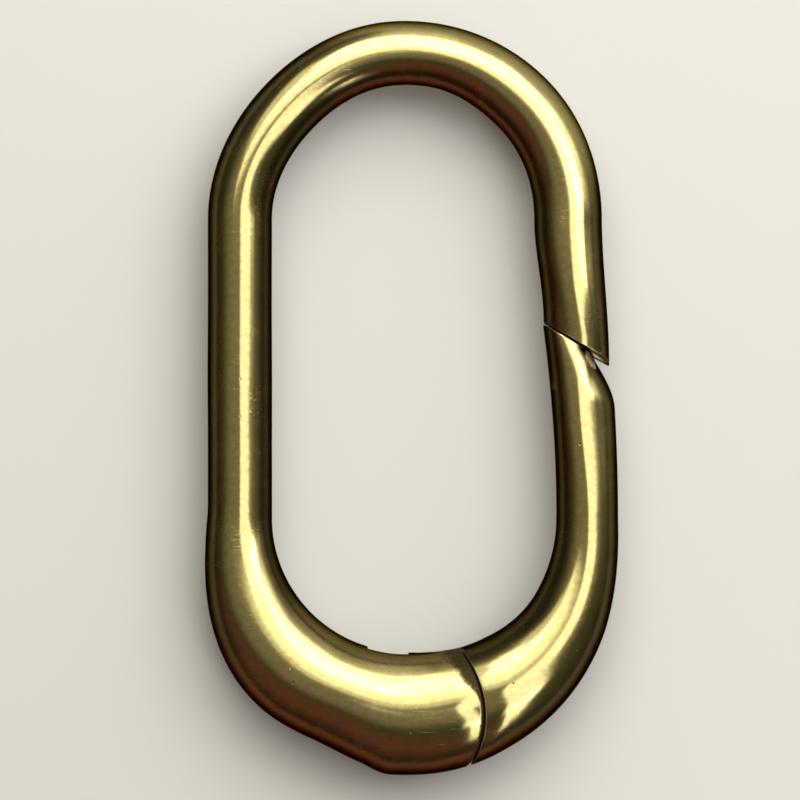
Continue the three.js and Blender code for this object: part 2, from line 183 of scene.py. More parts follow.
class GATERING_HingeSizes(bpy.types.PropertyGroup):
    """Sizes of the slot, the tongue, the pin and the spring."""

    pin_across: share("Pin across bar", 0.513, "The pin's place across the thick end")
    pin_angle: angle("Pin angle", 83.6, "The pin's place round the low bow")
    slot_width: length("Slot width", 2.4, "Width of the slot between the ears")
    side_clearance: length("Side clearance", 0.1, "Room on each side of the tongue")
    heel_radius: length("Heel radius", 3.2, "Radius of the tongue's heel")
    heel_clearance: length("Heel clearance", 0.25, "Room behind the heel")
    stop_wall: angle("Stop wall", 104, "Direction of the wall that stops the gate")
    strap_face: angle("Strap face", 68, "Direction of the tongue's inner face")
    web_tangent: angle("Web tangent", -75, "Where the tongue and the web leave the heel's round")
    pin_diameter: length("Pin diameter", 2, "Diameter of the hinge pin")
    running_clearance: length("Running clearance", 0.05, "Room round the pin in the tongue")
    drive_clearance: length("Drive clearance", 0.01, "Room round the pin in the ears")
    blind_depth: length("Blind depth", 1.6, "How far the pin enters the front ear")
    pin_tip_gap: length("Pin tip gap", 0.1, "Room past the pin's tip")
    pin_chamfer: length("Pin chamfer", 0.2, "Chamfer on the pin's tip")
    bore_diameter: length("Bore diameter", 2.3, "Diameter of the spring's bore")
    bore_slope: angle("Bore slope", 16, "Slope of the bore from level")
    bore_above_pin: length("Bore above pin", 1.4, "Distance from the bore's axis to the pin")
    drill_point: length("Drill point", 0.6, "Depth of the cone at the bore's end")
    seat_from_pin: length("Seat from pin", 2.1, "Distance of the heel's flat from the pin")
    seat_step: length("Seat step", 0.3, "Where that flat starts, above the pin")
    spring_diameter: length("Spring diameter", 2, "Outside diameter of the spring")
    spring_wire: length("Spring wire", 0.4, "Diameter of the spring's wire")
    spring_pitch: length("Spring pitch", 0.9, "Distance between curls")
    spring_end_gap: length("Spring end gap", 0.3, "Room at each end of the spring")
    spring_curls: count("Spring curls", 7, "Number of curls")
    spring_travel: length("Spring travel", 0.72, "How far the open gate shortens the spring")


class GATERING_Facets(bpy.types.PropertyGroup):
    """How finely each surface is divided."""

    bar_sides: count("Bar sides", 96, "Facets round a bar")
    hole_sides: count("Hole sides", 64, "Facets round the pin and the holes")
    bow_stations: count("Bow stations", 120, "Stations round the plain bow")
    low_bow_stations: count("Low bow stations", 72, "Stations round the thick end")
    straight_stations: count("Straight stations", 16, "Stations along the short arm")
    left_stations: count("Left stations", 44, "Stations along the long side")
    seam_stations: count("Seam stations", 32, "Stations that turn into the seam's curve")
    corner_stations: count("Corner stations", 32, "Stations round the gate's corner")
    side_stations: count("Side stations", 24, "Stations up to the gate's upright stretch")
    upright_stations: count("Upright stations", 56, "Stations along the upright stretch")
    fall_stations: count("Fall stations", 20, "Stations down a slope towards a seam")
    round_stations: count("Round stations", 8, "Stations round a rounded rim")
    cap_rings: count("Cap rings", 6, "Rings on an end face")
    arc_steps: count("Arc steps", 40, "Steps round an arc of the slot or the tongue")
    curl_steps: count("Curl steps", 28, "Steps round one curl of the spring")
    wire_sides: count("Wire sides", 14, "Facets round the spring's wire")


class GATERING_Finish(bpy.types.PropertyGroup):
    """Colours and surface of the plating, and the painted shade on its flanks."""

    gold: colour("Gold", (0.62, 0.525, 0.235), "Polished plate")
    deep_gold: colour("Deep gold", (0.52, 0.42, 0.165), "Plate where it is a little thicker")
    # Patina on the bar's flanks is painted shade, which stands for the dark room that they reflect;
    # on the pin and the spring it is tarnish
    tarnish_and_painted_shade: colour("Patina", (0.075, 0.06, 0.028), "Tarnish on the flanks, where nothing rubs")
    # Painted red-brown reflection and shade on the flanks that face towards the low bow and the
    # left
    painted_red_brown_shade: colour("Brown patina", (0.115, 0.037, 0.021), "Tarnish on the low side")
    # The darkest painted red-brown shade, at the rims of those flanks
    darkest_painted_red_brown_shade: colour("Brown grime", (0.07, 0.022, 0.012), "The darkest of it, at the rim")
    chafed: colour("Chafed", (0.55, 0.40, 0.27), "Bare metal where the gate's tip rubs the nose")
    copper: colour("Copper", (0.42, 0.17, 0.09), "Copper that shows where the gold has worn")
    # Grime is dirt in the seams and the pits, and also painted shade on the flanks and rims
    grime_and_painted_shade: colour("Grime", (0.034, 0.023, 0.009), "Dirt in the seams and the pits")
    pin_gold: colour("Pin gold", (0.50, 0.40, 0.19), "Plate on the ground end of the pin")
    steel: colour("Spring steel", (0.45, 0.45, 0.46), "Bright drawn wire")
    edge_tint: colour("Edge tint", (0.13, 0.117, 0.091), "What is left at a grazing angle")
    roughness: share("Roughness", 0.11, "Roughness of the polished plate")
    # Painted shade: these set how dark the flanks and rims are painted, by how far the surface
    # leans
    flank_shade_depth: share("Patina depth", 0.92, "How strongly the flanks are tarnished")
    rim_depth: share("Rim depth", 0.58, "How strongly the rims are tarnished")
    flank_start: angle("Flank start", 23.07, "Lean of the surface where the tarnish starts")
    flank_full: angle("Flank full", 42.27, "Lean where the flank is fully tarnished")
    rim_start: angle("Rim start", 38.74, "Lean where the darker rim starts")
    rim_full: angle("Rim full", 60, "Lean where the rim is at its darkest")
    seam_dirt: length("Seam dirt", 0.32, "Width of the dirt beside the hinge seam")
    seam_dirt_inside: length("Seam dirt inside", 1.2, "Width that it gains towards the opening")
    nose_dirt: length("Nose dirt", 0.16, "Width of the dirt beside the nose seam")
    chafed_height: length("Chafed height", 1.35, "Height of the chafed spot over the bar's middle")


class GATERING_Studio(bpy.types.PropertyGroup):
    """Camera, floor and light."""

    frame_width: length("Frame width", 59.70, "Width that the picture takes in")
    frame_centre_x: length("Frame centre X", -0.868, "Where the camera looks, across the ring")
    frame_centre_y: length("Frame centre Y", -0.161, "Where the camera looks, along the ring")
    camera_height: length("Camera height", 360, "Distance from the camera to the ring")
    sensor: length("Sensor", 36, "Width of the camera's sensor")
    floor_size: length("Floor size", 4000, "Side of the floor")
    floor: colour("Floor", (0.66, 0.66, 0.65), "Colour of the floor")
    ceiling_height: length("Ceiling height", 260, "Height of the lit panels over the floor")
    lamp_colour: colour("Lamp colour", (1.0, 0.985, 0.94), "Colour of the lit panels")
    ceiling: light("Ceiling", (0.25, 0.235, 0.185), "Light of the ceiling, straight above")
    dim_room: light("Dim room", (0.065, 0.066, 0.038), "Light of the room away from it")
    north_wall: light("North wall", (0.3, 0.265, 0.19), "Light of the wall past the plain bow")
    east_wall: light("East wall", (0.11, 0.1, 0.066), "Light of the wall past the gate")
    corner: light("Corner", (0.13, 0.056, 0.043), "Light of the red-brown corner at the lower left")
    horizon: light("Horizon", (0.15, 0.145, 0.12), "Light from low down all round")
    left_wing: light("Left wing", (1.1, 1.08, 0.9), "Light of the window on the left")
    crown: light("Crown", (1.5, 1.45, 1.2), "Light of the window past the plain bow")
    glow: light("Glow", (0.95, 0.92, 0.77), "Light of the bright wall at the upper right")
    side_window: light("Side window", (2.1, 2.07, 1.97), "Light of the tall window on the right")


GROUPS = {
    "gate_ring_ring": GATERING_RingSizes,
    "gate_ring_gate": GATERING_GateSizes,
    "gate_ring_hinge": GATERING_HingeSizes,
    "gate_ring_facets": GATERING_Facets,
    "gate_ring_finish": GATERING_Finish,
    "gate_ring_studio": GATERING_Studio,
}


# The ring's shape


@dataclass
class Station:
    """A section of a bar: an ellipse, and the place in the sketch of each reach across it.

    Its crown may lie off its middle.
    """

    place: Callable
    middle: float
    half_width: float
    half_depth: float
    crown: float = 0


def smooth(value, low, high):
    """A smooth rise from nothing at low to one at high."""
    part = np.clip((value - low) / (high - low), 0, 1)
    return part * part * (3 - 2 * part)


def between(first, last, part):
    """The value that lies a part of the way from first to last."""
    return first + (last - first) * part


def around(radius, turn):
    """A point round zero at a radius and an angle."""
    return np.array([radius * math.cos(turn), radius * math.sin(turn)])


class RingShape:
    """The ring laid out in its sketch, which has the centre of the opening at zero.

    Round the low bow an angle starts at the left side and grows downwards to the right side.
    """

    def __init__(self, scene):
        self.ring = scene.gate_ring_ring
        self.gate = scene.gate_ring_gate
        self.hinge = scene.gate_ring_hinge
        self.facets = scene.gate_ring_facets
        self.low = -self.ring.bow_spacing / 2
        self.high = self.ring.bow_spacing / 2
        self.bar_radius = self.ring.bar_diameter / 2
        self.bar_middle = self.ring.opening_radius + self.bar_radius
        hinge_width = self.ring.bar_diameter + self.ring.hinge_swell + self.ring.boss_swell
        self.pin_reach = self.ring.opening_radius + self.hinge.pin_across * hinge_width
        self.pin = np.array(self.low_bow(self.pin_reach, self.hinge.pin_angle))
        self.shoulder_radius = self.ring.ear_radius + self.gate.seam_gap
        self.shift = HINGE_POINT - np.array([*self.pin, 0])

    def low_bow(self, reach, turn):
        """The point at a reach and an angle round the low bow."""
        return -reach * np.cos(turn), self.low - reach * np.sin(turn)

    def swell(self, turn):
        """Extra width outside the bar, which rises on the ring and falls along the gate."""
        ring, gate = self.ring, self.gate
        rise = ring.hinge_swell * smooth(turn, ring.swell_start, ring.swell_full)
        boss = ring.boss_swell * smooth(turn, ring.boss_start, ring.boss_full)
        whole = ring.hinge_swell + ring.boss_swell - gate.stand_off
        return rise + boss - whole * smooth(turn, ring.swell_held, ring.swell_gone)

    def ring_section(self, turn):
        """Middle, half width and half depth of the ring's bar at an angle."""
        inside = self.ring.opening_radius
        outside = inside + self.ring.bar_diameter + self.swell(turn)
        rise = smooth(turn, self.ring.swell_start, self.ring.depth_full)
        depth = between(self.ring.bar_diameter, self.ring.hinge_depth, rise)
        return (inside + outside) / 2, (outside - inside) / 2, depth / 2

    def gate_section(self, turn):
        """Middle, half width and half depth of the gate's bar at an angle."""
        gate = self.gate
        opening = self.ring.opening_radius
        inside = opening + gate.inset * smooth(turn, gate.inset_start, gate.inset_full)
        outside = opening + self.ring.bar_diameter + self.swell(turn)
        taper = smooth(turn, gate.taper_start, gate.taper_end)
        depth = between(self.ring.hinge_depth, gate.depth, taper)
        return (inside + outside) / 2, (outside - inside) / 2, depth / 2

    def seam_angle(self, reach, radius):
        """Where a circle round the low bow meets a circle round the pin, on the gate's side."""
        cosine = (self.pin_reach**2 + reach**2 - radius**2) / (2 * self.pin_reach * reach)
        return self.hinge.pin_angle + np.arccos(np.clip(cosine, -1, 1))

    def nose_cut(self, x, below):
        """Height of the oblique cut between the nose and the gate's tip."""
        slope = self.ring.nose_slope
        run = (x - self.ring.opening_radius) * math.tan(slope)
        lip = self.ring.nose_lip * smooth(x + below, self.ring.lip_start, self.ring.lip_full)
        return self.ring.nose_height - lip - run - below / math.cos(slope)

    def flat_station(self, turn, section):
        """A flat station across the low bow."""
        return Station(lambda reach: self.low_bow(reach, turn), *section(turn))

    def pin_station(self, radius, section):
        """A station that lies on a circle round the pin."""
        turn = self.seam_angle(self.pin_reach, radius)
        return Station(
            lambda reach: self.low_bow(reach, self.seam_angle(reach, radius)), *section(turn)
        )

    def blend_station(self, turn, radius, part, section):
        """A station part of the way from a flat one to one round the pin."""

        def turn_at(reach):
            return between(turn, self.seam_angle(reach, radius), part)

        return Station(
            lambda reach: self.low_bow(reach, turn_at(reach)), *section(turn_at(self.pin_reach))
        )

    def rounded_end(self, station_at, rounding):
        """The stations of a rounded rim, from the full section to the end itself."""
        stations = []
        for step in range(self.facets.round_stations + 1):
            turn = math.pi / 2 * step / self.facets.round_stations
            station = station_at(rounding * (1 - math.sin(turn)))
            station.half_width -= rounding * (1 - math.cos(turn))
            station.half_depth -= rounding * (1 - math.cos(turn))
            stations.append(station)
        return stations

    def sloped_end(self, station_at, slope_length, rounding):
        """The stations of a slope towards a seam, and of the rounded rim at its end."""
        total = self.facets.fall_stations
        backs = [between(slope_length, rounding, step / total) for step in range(total)]
        return [station_at(back) for back in backs] + self.rounded_end(station_at, rounding)

    def seam_station(self, radius, section, part_fallen, fall, fall_inside=0):
        """A station on a circle round the pin, on the slope towards the seam."""
        station = self.pin_station(radius, section)
        station.half_depth -= fall * part_fallen**2
        station.half_width -= fall_inside / 2 * part_fallen**2
        station.middle += fall_inside / 2 * part_fallen**2
        return station

    def arm_station(self, part, back):
        """A station of the short arm, from the nose cut up to the plain bow."""
        ring = self.ring
        lean = between(ring.nose_lean, -ring.arm_dip, smooth(part, 0, 1))
        fill = ring.arm_fill * between(ring.arm_fill_left, 1, smooth(part, 0, 1))
        fallen = max(0, 1 - part / ring.nose_fall_share) ** 2
        return Station(
            lambda reach: (reach, between(self.nose_cut(reach, -back), self.high, part)),
            self.bar_middle + lean - fill / 2,
            self.bar_radius + fill / 2,
            self.bar_radius - ring.nose_fall * fallen,
        )

    def bow_station(self, turn):
        """A station of the plain bow, which isn't quite a half circle."""
        ring = self.ring
        rise = smooth(turn, ring.bow_dip_start, ring.bow_dip_middle)
        fall = smooth(turn, ring.bow_dip_middle, ring.bow_dip_end)
        dip = ring.bow_dip * rise * (1 - fall) + ring.arm_dip * smooth(-turn, -ring.arm_dip_end, 0)
        fill = ring.arm_fill * smooth(-turn, -ring.arm_fill_start, -ring.arm_fill_full)
        return Station(
            lambda reach: (reach * math.cos(turn), self.high + reach * math.sin(turn)),
            self.bar_middle - dip - fill / 2,
            self.bar_radius + fill / 2,
            self.bar_radius,
        )

    def side_station(self, height):
        """A station of the long side, whose widening carries on from the low bow's."""
        turn = -(height - self.low) / self.bar_middle
        return Station(lambda reach: (-reach, height + 0 * reach), *self.ring_section(turn))

    def ring_stations(self):
        """All stations of the ring casting, from its nose to the end of its ears."""
        facets, ring = self.facets, self.ring
        nose = self.rounded_end(lambda back: self.arm_station(0, back), ring.nose_round)
        stations = nose[::-1]
        for step in range(1, facets.straight_stations):
            part = step / facets.straight_stations
            stations.append(self.arm_station(part, ring.nose_round))
        for step in range(facets.bow_stations + 1):
            stations.append(self.bow_station(math.pi * step / facets.bow_stations))
        for step in range(1, facets.left_stations + 1):
            height = between(self.high, self.low, step / facets.left_stations)
            stations.append(self.side_station(height))
        for step in range(1, facets.low_bow_stations + 1):
            turn = ring.depth_full * step / facets.low_bow_stations
            stations.append(self.flat_station(turn, self.ring_section))
        start = ring.ear_radius - ring.ear_fall_length
        for step in range(1, facets.seam_stations):
            part = step / facets.seam_stations
            stations.append(self.blend_station(ring.depth_full, start, part, self.ring_section))

        def ear(back):
            part = 1 - back / ring.ear_fall_length
            radius = ring.ear_radius - back
            return self.seam_station(
                radius, self.ring_section, part, ring.ear_fall, ring.ear_fall_inside
            )

        return stations + self.sloped_end(ear, ring.ear_fall_length, ring.ear_round)

    def upright_station(self, part, back):
        """A station of the gate's upright stretch, up to the oblique cut of its tip."""
        gate = self.gate
        lean = part**2
        start = gate.tip_shoulder_start
        rounding = max(0, (part - start) / (1 - start)) ** 2
        start = gate.tip_fall_start
        fallen = max(0, (part - start) / (1 - start)) ** 2
        opening = self.ring.opening_radius
        inside = opening + gate.inset - gate.lean_inside * lean
        side = opening + self.ring.bar_diameter + self.swell(math.pi)
        outside = side - gate.lean_outside * lean - gate.tip_shoulder * rounding
        return Station(
            lambda reach: (
                reach,
                between(self.low, self.nose_cut(reach, gate.seam_gap + back), part),
            ),
            (inside + outside) / 2,
            (outside - inside) / 2,
            gate.depth / 2 - gate.tip_fall * fallen,
            gate.crown * float(smooth(part, 0, gate.crown_full)),
        )

    def gate_stations(self):
        """All stations of the gate's bar, from its hollow shoulder to its tip."""
        facets, gate = self.facets, self.gate

        def shoulder(back):
            part = 1 - back / gate.shoulder_fall_length
            radius = self.shoulder_radius + back
            return self.seam_station(radius, self.gate_section, part, gate.shoulder_fall)

        stations = self.sloped_end(shoulder, gate.shoulder_fall_length, gate.shoulder_round)[::-1]
        start = self.shoulder_radius + gate.shoulder_fall_length
        for step in range(1, facets.corner_stations + 1):
            part = 1 - step / facets.corner_stations
            stations.append(self.blend_station(gate.inset_full, start, part, self.gate_section))
        for step in range(1, facets.side_stations + 1):
            turn = between(gate.inset_full, math.pi, step / facets.side_stations)
            stations.append(self.flat_station(turn, self.gate_section))
        for step in range(1, facets.upright_stations):
            part = step / facets.upright_stations
            stations.append(self.upright_station(part, gate.tip_round))
        tip = self.rounded_end(lambda back: self.upright_station(1, back), gate.tip_round)
        return stations + tip

    def arc(self, radius, start, end):
        """Points of an arc round the pin."""
        turns = np.linspace(start, end, self.facets.arc_steps + 1)
        return [around(radius, turn) for turn in turns]

    def slot_outline(self):
        """The slot, open at the ears' end and towards the opening, in the pin's frame."""
        hinge = self.hinge
        pocket = hinge.heel_radius + hinge.heel_clearance
        reach = 2 * self.ring.ear_radius
        run = math.sqrt(reach**2 - pocket**2)
        tangent = hinge.web_tangent
        web_end = around(pocket, tangent) + around(run, tangent + math.pi / 2)
        outline = self.arc(pocket, hinge.stop_wall, tangent + 2 * math.pi)
        return outline + [web_end, np.array([reach, reach]), around(reach, hinge.stop_wall)]

    def tongue_outline(self):
        """The tongue: a strap from the shoulder, and a heel with a flat for the spring."""
        hinge, gate = self.hinge, self.gate
        heel = hinge.heel_radius
        tangent = hinge.web_tangent
        run = math.sqrt(self.shoulder_radius**2 - heel**2)
        strap_end = around(heel, tangent) + around(run, tangent + math.pi / 2)
        root = self.shoulder_radius + gate.tongue_root
        bore_turn = math.pi - hinge.bore_slope
        seat_top = math.acos(hinge.seat_from_pin / heel)
        seat_step = math.asin(hinge.seat_step / heel)
        seat_low = around(hinge.seat_from_pin, bore_turn)
        seat_low = seat_low + around(hinge.seat_step, bore_turn - math.pi / 2)
        strap_turn = math.atan2(strap_end[1], strap_end[0])
        outline = self.arc(heel, hinge.strap_face, bore_turn - seat_top)
        outline.append(seat_low)
        outline += self.arc(heel, bore_turn - seat_step, tangent + 2 * math.pi)
        outline += [strap_end, strap_end + np.array([gate.tongue_root, 0])]
        return outline + self.arc(root, strap_turn, hinge.strap_face)

    def spring_length(self):
        """Length of the spring while the gate is shut, with a wire's width at each end."""
        hinge = self.hinge
        return 2 * hinge.spring_wire + hinge.spring_pitch * hinge.spring_curls

    def bore_point(self, along, out, turn):
        """A point of the spring's bore: how far along it, how far from its axis, and where."""
        up = self.hinge.bore_slope
        axis = np.array([-math.cos(up), math.sin(up), 0])
        across = np.array([math.sin(up), math.cos(up), 0])
        away = across * math.cos(turn) + np.array([0, 0, 1]) * math.sin(turn)
        start = HINGE_POINT + across * self.hinge.bore_above_pin
        return start + axis * along + away * out


# Meshes


def skin(rings, first_point, last_point):
    """Points and faces of a closed skin over rings of points, with a point at each end."""
    rings = np.asarray(rings)
    total, sides = rings.shape[:2]
    points = np.vstack([[first_point], rings.reshape(-1, 3), [last_point]])
    near = 1 + np.arange(total * sides).reshape(total, sides)
    far = np.roll(near, -1, axis=1)
    faces = np.stack([near[:-1], far[:-1], far[1:], near[1:]], -1).reshape(-1, 4).tolist()
    last = len(points) - 1
    faces += [[0, second, first] for first, second in zip(near[0].tolist(), far[0].tolist())]
    faces += [[last, first, second] for first, second in zip(near[-1].tolist(), far[-1].tolist())]
    return points, faces


def new_piece(name, points, faces):
    """A closed mesh object, with its faces pointing out."""
    mesh = bpy.data.meshes.new(name)
    mesh.from_pydata([tuple(point) for point in points], [], faces)
    shell = bmesh.new()
    shell.from_mesh(mesh)
    bmesh.ops.recalc_face_normals(shell, faces=shell.faces)
    shell.to_mesh(mesh)
    shell.free()
    piece = bpy.data.objects.new(name, mesh)
    bpy.context.scene.collection.objects.link(piece)
    return piece


def ring_of_points(station, shape, part=1):
    """The points round one station, or a smaller ring inside it."""
    sides = shape.facets.bar_sides
    turns = 2 * math.pi * np.arange(sides) / sides
    reach = station.half_width * np.cos(turns) + station.crown * np.sin(turns) ** 2
    x, y = station.place(station.middle + part * reach)
    height = part * station.half_depth * np.sin(turns)
    return np.stack([x, y, height], -1) + shape.shift


def loft(name, stations, shape):
    """A bar through its stations, with an end face on the first and the last."""
    total = shape.facets.cap_rings
    parts = [step / total for step in range(1, total)]
    rings = [ring_of_points(stations[0], shape, part) for part in parts]
    rings += [ring_of_points(station, shape) for station in stations]
    rings += [ring_of_points(stations[-1], shape, part) for part in reversed(parts)]
    ends = []
    for station in (stations[0], stations[-1]):
        x, y = station.place(np.array([station.middle]))
        ends.append(np.array([x[0], y[0], 0]) + shape.shift)
    return new_piece(name, *skin(rings, *ends))


def plate(name, outline, thickness):
    """A flat plate with an outline round the pin, across the middle of the hinge."""
    total = len(outline)
    points = []
    for height in (-thickness / 2, thickness / 2):
        points += [HINGE_POINT + np.array([x, y, height]) for x, y in outline]
    faces = [list(range(total)), list(range(2 * total - 1, total - 1, -1))]
    for first in range(total):
        second = (first + 1) % total
        faces.append([first, first + total, second + total, second])
    return new_piece(name, points, faces)


def turned(name, profile, sides, place):
    """A turned bar. Its profile is pairs of radius and distance along it."""
    turns = [2 * math.pi * side / sides for side in range(sides)]
    rings = [[place(along, radius, turn) for turn in turns] for radius, along in profile]
    ends = [place(profile[0][1], 0, 0), place(profile[-1][1], 0, 0)]
    return new_piece(name, *skin(rings, *ends))


def combine(piece, tool, operation):
    """Cuts a tool from a piece, joins it on or keeps what both share. The tool is used up."""
    modifier = piece.modifiers.new("combine", "BOOLEAN")
    modifier.operation = operation
    modifier.solver = "EXACT"
    modifier.object = tool
    bpy.context.view_layer.update()
    made = piece.evaluated_get(bpy.context.evaluated_depsgraph_get())
    mesh = bpy.data.meshes.new_from_object(made)
    piece.modifiers.clear()
    spent = [piece.data, tool.data]
    piece.data = mesh
    bpy.data.objects.remove(tool)
    for old in spent:
        bpy.data.meshes.remove(old)
    return piece


def ripple(piece, ring):
    """Moves the surface in and out by the slow waves that hand polishing leaves."""
    mesh = piece.data
    normals = [vertex.normal.copy() for vertex in mesh.vertices]
    for vertex, normal in zip(mesh.vertices, normals):
        wave = noise.noise(vertex.co / ring.ripple_length)
        vertex.co += normal * (ring.ripple_height * wave)


def finish_piece(piece, material, body, node):
    """Smooths a piece, gives it its finish and puts it in the place of its node."""
    crease = math.radians(32)
    piece.data.materials.clear()
    piece.data.materials.append(material)
    piece.data.shade_smooth()
    piece.data.set_sharp_from_angle(angle=crease)
    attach(piece, body)
    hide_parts(node)


# Finishes


class Value:
    """An output of a node, which can be reckoned with like a number."""

    def __init__(self, graph, socket):
        self.graph = graph
        self.socket = socket

    def output(self, name):
        """Another output of the same node."""
        return Value(self.graph, self.socket.node.outputs[name])

    def __add__(self, other):
        return self.graph.maths("ADD", self, other)

    __radd__ = __add__

    def __sub__(self, other):
        return self.graph.maths("SUBTRACT", self, other)

    def __rsub__(self, other):
        return self.graph.maths("SUBTRACT", other, self)

    def __mul__(self, other):
        return self.graph.maths("MULTIPLY", self, other)

    __rmul__ = __mul__

    def __truediv__(self, other):
        return self.graph.maths("DIVIDE", self, other)

    def __rtruediv__(self, other):
        return self.graph.maths("DIVIDE", other, self)

    def __pow__(self, other):
        return self.graph.maths("POWER", self, other)

    def __rpow__(self, other):
        return self.graph.maths("POWER", other, self)

    def __abs__(self):
        return self.graph.maths("ABSOLUTE", self)


class Graph:
    """The nodes of one finish, or of the world."""

    def __init__(self, tree):
        self.tree = tree
        tree.nodes.clear()

    def node(self, kind, settings=None, sockets=None, output=0):
        """Adds a node: its settings first, then the values or links of its sockets."""
        made = self.tree.nodes.new(kind)
        for name, value in (settings or {}).items():
            setattr(made, name, value)
        for name, value in (sockets or {}).items():
            if isinstance(value, Value):
                self.tree.links.new(value.socket, made.inputs[name])
            else:
                made.inputs[name].default_value = value
        return Value(self, made.outputs[output]) if made.outputs else None

    def maths(self, operation, *values):
        """A Math node on one or more values."""
        sockets = dict(enumerate(values))
        return self.node("ShaderNodeMath", {"operation": operation}, sockets)

    def vector(self, operation, *values, output=0):
        """A Vector Math node on one or more vectors."""
        sockets = dict(enumerate(values))
        return self.node("ShaderNodeVectorMath", {"operation": operation}, sockets, output)

    def mix(self, factor, first, second):
        """A blend of two colours."""
        factor_socket, first_socket, second_socket, result = 0, 6, 7, 2
        sockets = {factor_socket: factor}
        for socket, value in ((first_socket, first), (second_socket, second)):
            sockets[socket] = value if isinstance(value, Value) else (*value, 1)
        return self.node("ShaderNodeMix", {"data_type": "RGBA"}, sockets, result)

    def rise(self, value, low, high):
        """A smooth rise from nothing at low to one at high, which may be the lower of the two."""
        settings = {"interpolation_type": "SMOOTHSTEP"}
        sockets = {"Value": value, "From Min": low, "From Max": high}
        return self.node("ShaderNodeMapRange", settings, sockets)

    def cloud(self, place, scale, detail=2.0, roughness=0.5):
        """Soft noise from nothing to one."""
        sockets = {"Vector": place, "Scale": scale, "Detail": detail, "Roughness": roughness}
        return self.node("ShaderNodeTexNoise", None, sockets)

    def cells(self, place, scale, output="Distance"):
        """Scattered cells: the distance to the nearest point, or that cell's own colour."""
        return self.node("ShaderNodeTexVoronoi", None, {"Vector": place, "Scale": scale}, output)


def metal(name, graph_of):
    """A material whose nodes are made by a function that is given its graph."""
    material = bpy.data.materials.new(name)
    material.use_nodes = True
    graph = Graph(material.node_tree)
    shader = graph_of(graph)
    graph.node("ShaderNodeOutputMaterial", None, {"Surface": shader})
    return material


def millimetres(graph):
    """The surface's own place, in millimetres."""
    place = graph.node("ShaderNodeTexCoord", None, None, "Object")
    return graph.vector("MULTIPLY", place, (1 / MM, 1 / MM, 1 / MM))


def hairlines(graph, place, turn, along, across):
    """Fine straight scratches in one direction, from nothing to one."""
    sockets = {"Vector": place, "Rotation": (0, 0, turn), "Scale": (along, across, across)}
    laid = graph.node("ShaderNodeMapping", None, sockets)
    return graph.rise(graph.cloud(laid, 1, 1), 0.66, 0.74)


def pits(graph, place, scale, size, share_kept):
    """Small round pits in some of the cells, from nothing to one."""
    distance = graph.cells(place, scale)
    chance = graph.node(
        "ShaderNodeSeparateColor", None, {"Color": graph.cells(place, scale, "Color")}
    )
    return graph.rise(distance, size, size / 3) * graph.rise(chance, 1 - share_kept, 1.001)


def seam_dirt(graph, place, finish, shape):
    """Dirt beside the two seams, from nothing to one."""
    pin = HINGE_POINT / MM
    flat_place = graph.vector("MULTIPLY", place, (1, 1, 0))
    from_pin = graph.vector("DISTANCE", flat_place, (pin[0], pin[1], 0), output="Value")
    seam_radius = (shape.ring.ear_radius + shape.gate.seam_gap / 2) / MM
    slope = shape.ring.nose_slope
    square = (math.sin(slope), math.cos(slope), 0)
    nose = np.array([shape.ring.opening_radius, shape.ring.nose_height, 0]) + shape.shift
    nose_line = float(np.dot(nose / MM, square)) - shape.gate.seam_gap / MM / 2
    from_nose = graph.vector("DOT_PRODUCT", place, square, output="Value") - nose_line
    across = graph.node("ShaderNodeSeparateXYZ", None, {"Vector": place})
    ragged = 0.25 + graph.cloud(place, 1.1, 3) + 0.5 * graph.cloud(place, 4.5, 2)
    above_pin = across.output("Y") - pin[1]
    inner_side = graph.rise(above_pin, 1.2, 3.4)
    from_seam = seam_radius - from_pin
    width = finish.seam_dirt / MM + finish.seam_dirt_inside / MM * inner_side
    at_hinge = graph.rise(from_seam / ragged, width, width * 0.5)
    at_hinge = at_hinge * graph.rise(from_seam / ragged, -0.2, -0.08)
    at_hinge = at_hinge * graph.rise(across, pin[0], pin[0] + 1)
    nose_width = finish.nose_dirt / MM
    at_nose = graph.rise(abs(from_nose) / ragged, nose_width, 0.4 * nose_width)
    at_nose = at_nose * graph.rise(across, 0, 4)
    return graph.maths("MAXIMUM", at_hinge, at_nose)


def chafed_spot(graph, place, mottle, finish, shape):
    """The spot on the tip's flank that the nose's lip rubs, from nothing to one."""
    across = (shape.ring.lip_start + shape.ring.lip_full) / 2
    below = 2.5 * shape.gate.seam_gap
    spot = np.array([across, shape.nose_cut(across, below), finish.chafed_height]) + shape.shift
    distance = graph.vector("DISTANCE", place, tuple(spot / MM), output="Value")
    return graph.rise(distance + 1.1 * (mottle - 0.5), 0.9, 0.5)


def painted_reflection_lift(graph, place, facing_x, facing_y):
    """Where painted reflection of bright walls lightens the painted shade on the flanks: outside
    the plain bow, inside the hinge bow.
    """
    place_x = graph.node("ShaderNodeSeparateXYZ", None, {"Vector": place})
    place_y = place_x.output("Y")
    outwards = 0.5 * facing_x + 0.8 * facing_y
    outside = graph.rise(place_y, 14, 20) * graph.rise(outwards, 0.32, 0.56)
    inside = graph.rise(place_y, -13, -18) * graph.rise(place_x, 4.4, 1.5)
    return 0.7 * inside * graph.rise(facing_y, 0.3, 0.6) + 0.8 * outside


def scratches(graph, place, patchy):
    """Hairlines in three directions, in patches."""
    scratched = 0
    for turn, along, across in ((0.35, 0.16, 9), (1.9, 0.2, 11), (2.75, 0.12, 8)):
        scratched = hairlines(graph, place, turn, along, across) + scratched
    return scratched * graph.rise(patchy, 0.42, 0.66)


